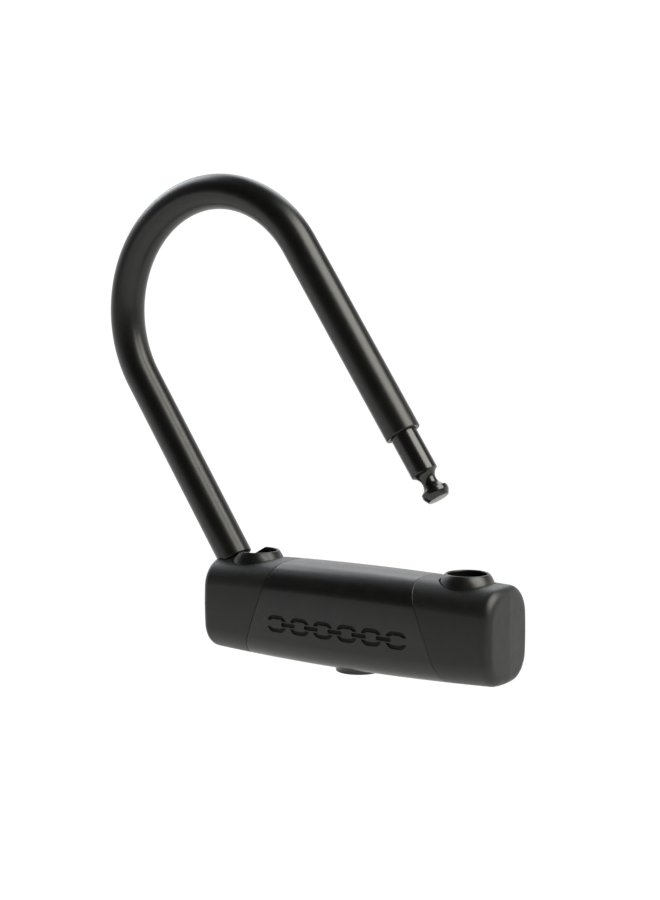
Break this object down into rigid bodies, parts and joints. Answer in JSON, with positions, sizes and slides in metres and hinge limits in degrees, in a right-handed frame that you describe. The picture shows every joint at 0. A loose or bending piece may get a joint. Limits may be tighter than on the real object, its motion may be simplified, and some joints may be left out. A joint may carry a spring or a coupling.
{
  "type": "u lock",
  "caption": "Bicycle U lock with a coated shackle hinged in one end of a crossbar, shown open, and a keyed bolt that holds its free foot.",
  "frame": {"origin": "middle of the crossbar, on the line shared by the hinge pins and the lock bolt", "axes": "+X along the crossbar towards the locking socket, +Y towards the back, +Z out of the sockets"},
  "size_m": [0.2308, 0.0398, 0.2332],
  "materials": {
    "black_plastic": "satin moulded black plastic",
    "soft_coating": "smooth satin black coating",
    "black_steel": "glossy black plated steel",
    "bare_steel": "machined bare steel",
    "lock_brass": "machined brass",
    "bumper_rubber": "matte black rubber"
  },
  "bodies": {
    "crossbar": {"center_sleeve": "black_plastic", "left_end_cap": "black_plastic", "right_end_cap": "black_plastic", "left_collar": "black_steel", "right_collar": "black_steel", "guard_ring": "black_steel", "crossbar_tube": "bare_steel", "left_end_plug": "bare_steel", "right_end_plug": "bare_steel", "left_plug_pin": "bare_steel", "right_plug_pin": "bare_steel", "hinge_block": "bare_steel", "hinge_block_pin": "bare_steel", "hinge_pin_front": "bare_steel", "hinge_pin_rear": "bare_steel", "bolt_guide": "bare_steel", "guide_pin_inner": "bare_steel", "guide_pin_outer": "bare_steel", "housing_screw_left": "bare_steel", "housing_screw_right": "bare_steel", "drill_guard": "bare_steel", "cylinder_housing": "lock_brass", "foot_bumper": "bumper_rubber"},
    "shackle": {"shackle_core": "black_steel", "shackle_sleeve": "soft_coating"},
    "key_core": {"disc_carrier": "lock_brass", "disc_1": "lock_brass", "disc_2": "lock_brass", "disc_3": "lock_brass", "disc_4": "lock_brass", "disc_5": "lock_brass", "disc_6": "lock_brass", "disc_7": "lock_brass", "sidebar": "bare_steel", "drive_cam": "bare_steel"},
    "bolt": {"lock_bolt": "bare_steel", "bolt_peg": "bare_steel"},
    "shutter": {"keyway_shutter": "black_steel"}
  },
  "joints": [
    {"name": "shackle_swing", "type": "hinge", "parent": "crossbar", "child": "shackle", "pos_m": [-0.05897, 0, 0], "axis": [0, 1, 0], "range_deg": [0, 34.03]},
    {"name": "key_turn", "type": "hinge", "parent": "crossbar", "child": "key_core", "pos_m": [0, 0, -0.014], "axis": [0, 0, 1], "range_deg": [0, 90]},
    {"name": "bolt_slide", "type": "slide", "parent": "crossbar", "child": "bolt", "axis": [1, 0, 0], "range_m": [0, 0.0045]},
    {"name": "shutter_turn", "type": "hinge", "parent": "crossbar", "child": "shutter", "pos_m": [0, 0, -0.0243], "axis": [0, 0, 1], "range_deg": [0, 90]}
  ],
  "couplings": [
    {"joint": "key_turn", "follows": "bolt_slide", "rad_per_m": 349.06}
  ]
}
